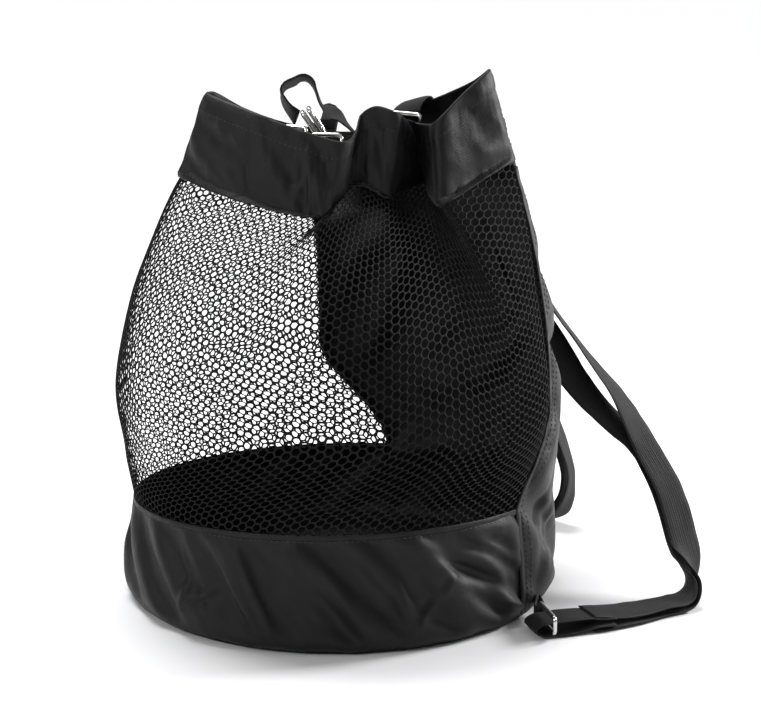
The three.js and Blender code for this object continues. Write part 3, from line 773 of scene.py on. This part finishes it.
def ribbon(name, route, width=WEB_W, thickness=WEB_T, seed=1, play=0.35):
    """A flat webbing with rounded edges, a slight crown and the small waves of real tape."""
    line, side, face = ribbon_frame(route)
    run = np.concatenate([[0], np.cumsum(np.linalg.norm(np.diff(line, axis=0), axis=1))])
    s = np.linspace(-1, 1, 11)
    half = thickness / 2 * (1 - 0.55 * np.abs(s) ** 8)
    section = [(x, h) for x, h in zip(s, half)] + [(1.015, 0)] + \
              [(x, -h) for x, h in zip(s[::-1], half[::-1])] + [(-1.015, 0)]
    sx, sh = np.array(section).T
    ends = smooth(run / 12) * smooth((run[-1] - run) / 12)
    slow = noise(run[:, None] / 19, sx[None, :] * 1.2, seed)
    quick = noise(run[:, None] / 8, sx[None, :] * 2, seed + 3)
    wave = play * ends[:, None] * (slow + 0.8 * quick * np.abs(sx)[None, :] ** 2)
    wide = width / 2 * (1 + 0.012 * noise(run / 15, run * 0, seed + 7))[:, None]
    rows = (line[:, None] + side[:, None] * (sx[None, :] * wide)[..., None]
            + face[:, None] * (sh[None, :] + wave)[..., None])
    uv = np.stack(np.broadcast_arrays(sx[None, :] * width / 2 + 50, run[:, None]), -1)
    made = tube(name, rows[:, ::-1], WEBBING, uv[:, ::-1])
    return made, line, side, face, run


def box_stitch(name, line, side, face, run, start, length, width, body):
    """A square of stitching with a cross in it, on one face of a webbing."""
    x, y = width / 2 - 2.2, length
    outline = [(-x, 0), (x, 0), (x, y), (-x, y), (-x, 0), (x, y), (x, 0), (-x, y)]
    points, normal = [], []
    for (a, b), (c, d) in zip(outline, outline[1:]):
        for w in np.linspace(0, 1, 14)[:-1]:
            s, at = a + (c - a) * w, start + b + (d - b) * w
            at_line = np.array([np.interp(at, run, line[:, k]) for k in range(3)])
            at_side = np.array([np.interp(at, run, side[:, k]) for k in range(3)])
            at_face = np.array([np.interp(at, run, face[:, k]) for k in range(3)])
            points.append(at_line + at_side * s + at_face * (WEB_T / 2 + 0.1))
            normal.append(at_face)
    stitches(name, np.array(points), np.array(normal), body, pitch=2.6, radius=0.22)


def arc(centre, a, b, radius, start, end, count):
    t = np.radians(np.linspace(start, end, count))[:, None]
    return np.asarray(centre, float) + radius * (np.cos(t) * a + np.sin(t) * b)


def ring(name, node, centre, long_way, short_way, inner_long, inner_short, body, wire=WIRE_R):
    """A rectangular ring bent from round wire, butted and welded in the middle of one long side."""
    a = unit(np.array(long_way, float))
    b = np.array(short_way, float)
    b = unit(b - (a @ b) * a)
    normal = np.cross(a, b)
    corner = 2.8
    half_a, half_b = inner_long / 2 + wire - corner, inner_short / 2 + wire - corner
    path = []
    for quarter, (sa, sb) in enumerate([(1, 1), (-1, 1), (-1, -1), (1, -1)]):
        middle = np.asarray(centre, float) + a * sa * half_a + b * sb * half_b
        path.append(arc(middle, a, b, corner, quarter * 90, quarter * 90 + 90, 9))
        following = [(-1, 1), (-1, -1), (1, -1), (1, 1)][quarter]
        target = np.asarray(centre, float) + a * following[0] * half_a + b * following[1] * half_b
        end = math.radians(quarter * 90 + 90)
        target = target + corner * (math.cos(end) * a + math.sin(end) * b)
        path.append(path[-1][-1] + (target - path[-1][-1]) * np.linspace(0.12, 0.88, 7)[:, None])
    line = np.concatenate(path)
    along = unit(np.roll(line, -1, axis=0) - np.roll(line, 1, axis=0))
    out = np.cross(along, normal)
    turn = np.linspace(0, 2 * math.pi, 17)[:-1]
    weld = np.exp(-((np.linalg.norm(line - (centre + b * (half_b + corner)), axis=1)) / 1.1) ** 2)
    radius = wire * (1 + 0.1 * weld)
    rows = (line[:, None] + radius[:, None, None] * (np.cos(turn)[None, :, None] * out[:, None]
                                                    + np.sin(turn)[None, :, None] * normal))
    made = tube(name, rows, NICKEL, closed=True)
    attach(made, body)
    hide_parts(node)


def tab(name, node, bar, bar_way, root_way, leg, width, body, seed):
    """A webbing tab folded round a bar, its two legs sewn together."""
    bar, bar_way, root_way = (np.array(v, float) for v in (bar, bar_way, root_way))
    bar_way, root_way = unit(bar_way), unit(root_way)
    bend = WIRE_R + 0.7 + WEB_T / 2
    side = unit(np.cross(bar_way, root_way))

    def at(along, off):
        return bar + root_way * along + side * off
    together = WEB_T / 2 + 0.15
    points = [at(leg, together), at(leg * 0.5, (together + bend) / 2)]
    points += [at(-bend * math.sin(t), bend * math.cos(t)) for t in np.linspace(0, math.pi, 7)]
    points += [at(leg * 0.5, -(together + bend) / 2), at(leg, -together)]
    made, line, across, face, run = ribbon(name, [(p, bar_way) for p in points], width, seed=seed, play=0.12)
    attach(made, body)
    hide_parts(node)
    box_stitch(f"{name}_stitches", line, across, -face, run, 1.5, leg * 0.55, width - 1, body)


PANEL_MID = math.radians((PANEL_FRONT + PANEL_BACK) / 2)
ACROSS_PANEL = np.array([math.cos(PANEL_MID), math.sin(PANEL_MID), 0])


def keep(p):
    return np.asarray(p, float)


def mirror(p):
    p = np.asarray(p, float)
    return p - 2 * (p @ ACROSS_PANEL) * ACROSS_PANEL


LOW_RING, LOW_LONG = np.array([119.3, -92.5, 8.6]), unit(np.array([0.22, -0.975, 0]))
LOOP_ACROSS = (0.28, -0.96, 0)
LOOP_ROUTE = [
    (157, -78.6, 6.2), (149, -81.4, 6.6), (142, -83.7, 7.9), (131, -88.5, 8.9), (120.5, -92.6, 8.8),
    (113, -95, 8.2), (109.3, -96, 5.2), (112, -95.5, 2.1), (119.5, -93.5, 1.25), (131, -90, 1.25),
    (139, -87.4, 1.9), (146, -85.2, 3.2), (157, -81.6, 3.2),
]
STRAND_HIGH, STRAND_LOW = (143.2, -82.6, 8.7), (143.2, -86.4, 1.2)


def make_lower_rings():
    for side, place in (("right", keep), ("left", mirror)):
        body = f"lower_ring_{side}"
        ring(f"lower_ring_{side}_wire", f"base_ring_{side}", place(LOW_RING), place(LOW_LONG), (0, 0, 1),
             RING_L, RING_S, body)
        short_bar = LOW_RING - LOW_LONG * (RING_L / 2 + WIRE_R)
        tab(f"lower_tab_{side}", f"base_tab_{side}", place(short_bar), (0, 0, 1), place((0.05, 1, 0)),
            TAB_LEG, TAB_W, "bag", 5)
        route = [(place(p), place(LOOP_ACROSS)) for p in LOOP_ROUTE]
        loop, *_ = ribbon(f"lower_loop_{side}", route, seed=9, play=0.15)
        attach(loop, body)
        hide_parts(f"strap_loop_{side}")


# ---- shoulder straps -----------------------------------------------------------------------------
RIGHT_SHARED = [
    ((188, -61, 3.1), (-0.46, 0.89, 0)), ((203, -52.5, 4), (-0.46, 0.89, 0)),
    ((209.3, -44, 9.5), (-0.2, 0.9, -0.3)),
    ((209.5, -34.5, 18.5), (0.4, 0.88, -0.2)), ((207.6, -22.7, 30), (0.86, 0.5, 0)),
    ((200.3, -1.2, 57), (0.86, 0.5, 0)), ((187, 19, 81), (0.84, 0.55, 0)),
]
RIGHT_INNER_END = [
    ((167, 31, 97), (0.8, 0.6, 0.1), STRAND), ((150, 44, 112), (0.8, 0.55, 0.3)),
    ((133, 60, 138), (0.75, 0.55, 0.4)),
    ((110, 75, 176), (0.3, 0.85, 0.3)), ((83, 76, 220), (-0.8, 0.5, 0.1)),
]
RIGHT_OUTER_END = [
    ((172, 37, 107), (0.5, 0.85, -0.1), -STRAND), ((153, 56, 133), (0.25, 0.95, -0.2)),
    ((134, 75, 158), (0.15, 0.95, -0.15)), ((106, 86, 200), (-0.3, 0.9, 0.3)),
    ((78, 82, 230), (-0.85, 0.45, 0.1)),
]
RIGHT_TOP = [
    ((65, 74.5, 245), (-0.9, 0.4, 0)), ((58, 66, 259), (-0.88, 0.42, -0.1)),
    ((54, 55, 276), (-0.86, 0.45, -0.15)),
    ((51, 49, 286.5), (-0.84, 0.48, -0.25)), ((47.6, 42.5, 291.5), (-0.8, 0.52, -0.28)),
    ((43.5, 36.5, 289.4), (-0.78, 0.58, -0.25)), ((41, 32.8, 285), (-0.8, 0.6, -0.1)),
]
LEFT_SHARED = [
    ((96, 157, 3.1), (0.4, 0.9, 0)), ((117, 137, 3.1), (0.72, 0.7, 0)), ((134, 116, 4), (0.78, 0.62, 0)),
    ((144, 106.5, 9.5), (0.75, 0.66, 0)), ((149.5, 106.5, 19.5), (0.5, 0.87, 0)),
    ((151.5, 111, 33), (0.3, 0.95, 0)),
    ((146, 118, 56), (0.3, 0.95, 0)), ((135, 127, 82), (0.25, 0.95, 0)), ((110, 142, 125), (0.1, 0.95, -0.2)),
    ((68, 142, 179), (-0.3, 0.85, 0)), ((20, 117, 225), (-0.8, 0.5, 0)),
]
LEFT_TOP = [
    ((-18, 76, 240.5), (-0.98, 0.1, 0)), ((-17, 62, 253), (-0.98, -0.1, 0)),
    ((-12, 53, 267), (-0.95, -0.2, 0)),
    ((-8, 47.5, 278), (-0.7, -0.65, 0.1)), ((-7.5, 42.5, 283), (-0.21, -0.95, 0.23)),
    ((-11, 40.8, 290.5), (-0.1, -0.97, 0.23)), ((-14, 39, 298.5), (-0.05, -0.96, 0.28)),
    ((-17.5, 37.6, 303.3), (0, -0.94, 0.34)), ((-21.7, 36.3, 304.7), (0, -0.93, 0.37)),
    ((-27, 34.7, 302.8), (0, -0.93, 0.38)), ((-32, 33.2, 300.3), (0, -0.92, 0.4)),
    ((-33.6, 32.3, 296.8), (0, -0.91, 0.42)), ((-32.4, 31.2, 292.5), (0.1, -0.91, 0.38)),
    ((-28.2, 29.3, 286.3), (0.26, -0.93, 0.27)), ((-24.5, 27.5, 282.3), (0.38, -0.87, 0.3)),
]


def lifted(route, lift):
    return [(p, w, lift) for p, w in route]


def make_straps():
    right_inner = [(STRAND_HIGH, (-0.28, 0.96, 0)), ((166, -73, 5.8), (-0.4, 0.9, 0.1)),
                   *lifted(RIGHT_SHARED, STRAND), *RIGHT_INNER_END]
    right_outer = [(STRAND_LOW, (-0.28, 0.96, 0)), ((166, -76, 1.3), (-0.4, 0.9, 0)),
                   *lifted(RIGHT_SHARED, -STRAND), *RIGHT_OUTER_END, *RIGHT_TOP]
    left_across = mirror(LOOP_ACROSS)
    left_inner = [(mirror(STRAND_HIGH), left_across), ((75, 164, 5.8), (-0.2, 0.97, 0)),
                  *lifted(LEFT_SHARED, STRAND), ((-7, 94, 232), (-0.95, 0.25, 0), STRAND)]
    left_outer = [(mirror(STRAND_LOW), left_across), ((77, 166, 1.3), (-0.2, 0.97, 0)),
                  *lifted(LEFT_SHARED, -STRAND), ((-7, 94, 233), (-0.95, 0.25, 0), -STRAND), *LEFT_TOP]
    for side, inner, outer in (("right", right_inner, right_outer), ("left", left_inner, left_outer)):
        body = f"shoulder_strap_{side}"
        made, *_ = ribbon(f"strap_{side}_inner_web", inner, seed=101)
        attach(made, body)
        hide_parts(f"strap_{side}_inner")
        made, *_ = ribbon(f"strap_{side}_outer_web", outer, seed=121)
        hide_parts(f"strap_{side}_outer", f"strap_{side}_top")
        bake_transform(made)


# ---- mouth ---------------------------------------------------------------------------------------
def make_mouth():
    back = np.array([39.5, 28.5, 279])
    back_long = unit(np.array([-0.8, 0.6, 0]))
    ring("back_ring_wire", "back_ring", back, back_long, (0, 0, 1), WEB_W + 2, BACK_RING_S, "mouth_ring_back")
    tab("back_ring_web", "back_ring_tab", back - np.array([0, 0, BACK_RING_S / 2 + WIRE_R]), back_long,
        (0.4, 0.5, -0.77), 9, WEB_W, "bag", 15)
    cinch_long = unit(np.array([0.54, 0, -0.84]))
    cinch = np.array([-12.4, 17, 281.5])
    for name, offset in (("front", (0, 0, 0)), ("back", (-3.6, 0, -2.3))):
        ring(f"cinch_{name}_wire", f"cinch_ring_{name}", cinch + offset, cinch_long, (0, 1, 0),
             MOUTH_RING_L, MOUTH_RING_S, "mouth_rings_cinch")
    draw, *_ = ribbon("draw_web", [
        ((-9, 12.5, 287), (0.1, 0.8, 0.5)), ((-2, 11, 286.5), (0.1, 0.85, 0.4)), ((6, 8, 279.5), (0, 1, 0)),
        ((15, 4.5, 272), (-0.2, 1, 0)), ((25, 7, 268.5), (-0.5, 0.8, 0)), ((31, 16, 268), (-0.9, 0.4, 0)),
    ], DRAW_W, seed=141, play=0.25)
    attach(draw, "bag")
    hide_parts("draw_strap")
    slope = np.array([0.16, 0.26, 0.95])
    for place, centre, along in (("left", (-27, -24, 279), (0.9, -0.4, 0)),
                                 ("middle", (-7, -29.5, 275), (0.97, -0.2, 0))):
        long_way = unit(np.array(along))
        short_way = unit(slope - (slope @ long_way) * long_way)
        ring(f"collar_{place}_wire", f"collar_ring_{place}", np.array(centre, float), long_way, short_way,
             MOUTH_RING_L, MOUTH_RING_S, f"mouth_ring_{place}", wire=1.15)
        bar = np.array(centre) - short_way * (MOUTH_RING_S / 2 + WIRE_R)
        tab(f"collar_{place}_web", f"collar_tab_{place}", bar, long_way, -short_way, 9, DRAW_W, "bag", 17)


# ---- stage ---------------------------------------------------------------------------------------
def area_light(name, location, target, size, power, colour=(1, 1, 1)):
    data = bpy.data.lights.new(name, "AREA")
    data.shape, data.size, data.energy, data.color = "DISK", size, power, colour
    light = bpy.data.objects.new(name, data)
    light.location = location
    light.rotation_euler = (Vector(target) - Vector(location)).to_track_quat("-Z", "Y").to_euler()
    bpy.context.collection.objects.link(light)


def make_stage():
    n = Nodes("pale floor")
    paper = n.set(Base_Color=(0.82, 0.82, 0.83, 1), Roughness=0.9, Specular_IOR_Level=0.1,
                  Normal=n.bump(n.noise(300, 2), 0.05, 0.0005))
    reach, level = 9000, -0.3
    corners = [(-reach, -reach, level), (reach, -reach, level), (reach, reach, level), (-reach, reach, level)]
    floor = piece("floor", corners, [(0, 1, 2, 3)], paper)
    world = bpy.data.worlds.new("studio")
    world.use_nodes = True
    world.node_tree.nodes["Background"].inputs["Color"].default_value = (1, 1, 1, 1)
    world.node_tree.nodes["Background"].inputs["Strength"].default_value = 0.36
    bpy.context.scene.world = world
    middle = (CAD_LOW + CAD_HIGH) / 2
    sun = bpy.data.objects.new("soft sun", bpy.data.lights.new("soft sun", "SUN"))
    sun.data.energy, sun.data.angle = 3.05, math.radians(32)
    sun.rotation_euler = Vector((-0.25, 0.45, 1)).to_track_quat("Z", "Y").to_euler()
    bpy.context.collection.objects.link(sun)
    area_light("key left", (-1.3, -1.2, 1.1), middle, 0.5, 11)
    area_light("rim right", (1.5, 0.5, 0.8), middle, 0.5, 34)
    bpy.context.scene.view_settings.view_transform = "Standard"


make_band()
make_collar()
make_back_panel()
make_net()
make_base()
make_tapes()
make_lower_rings()
make_straps()
make_mouth()
make_stage()
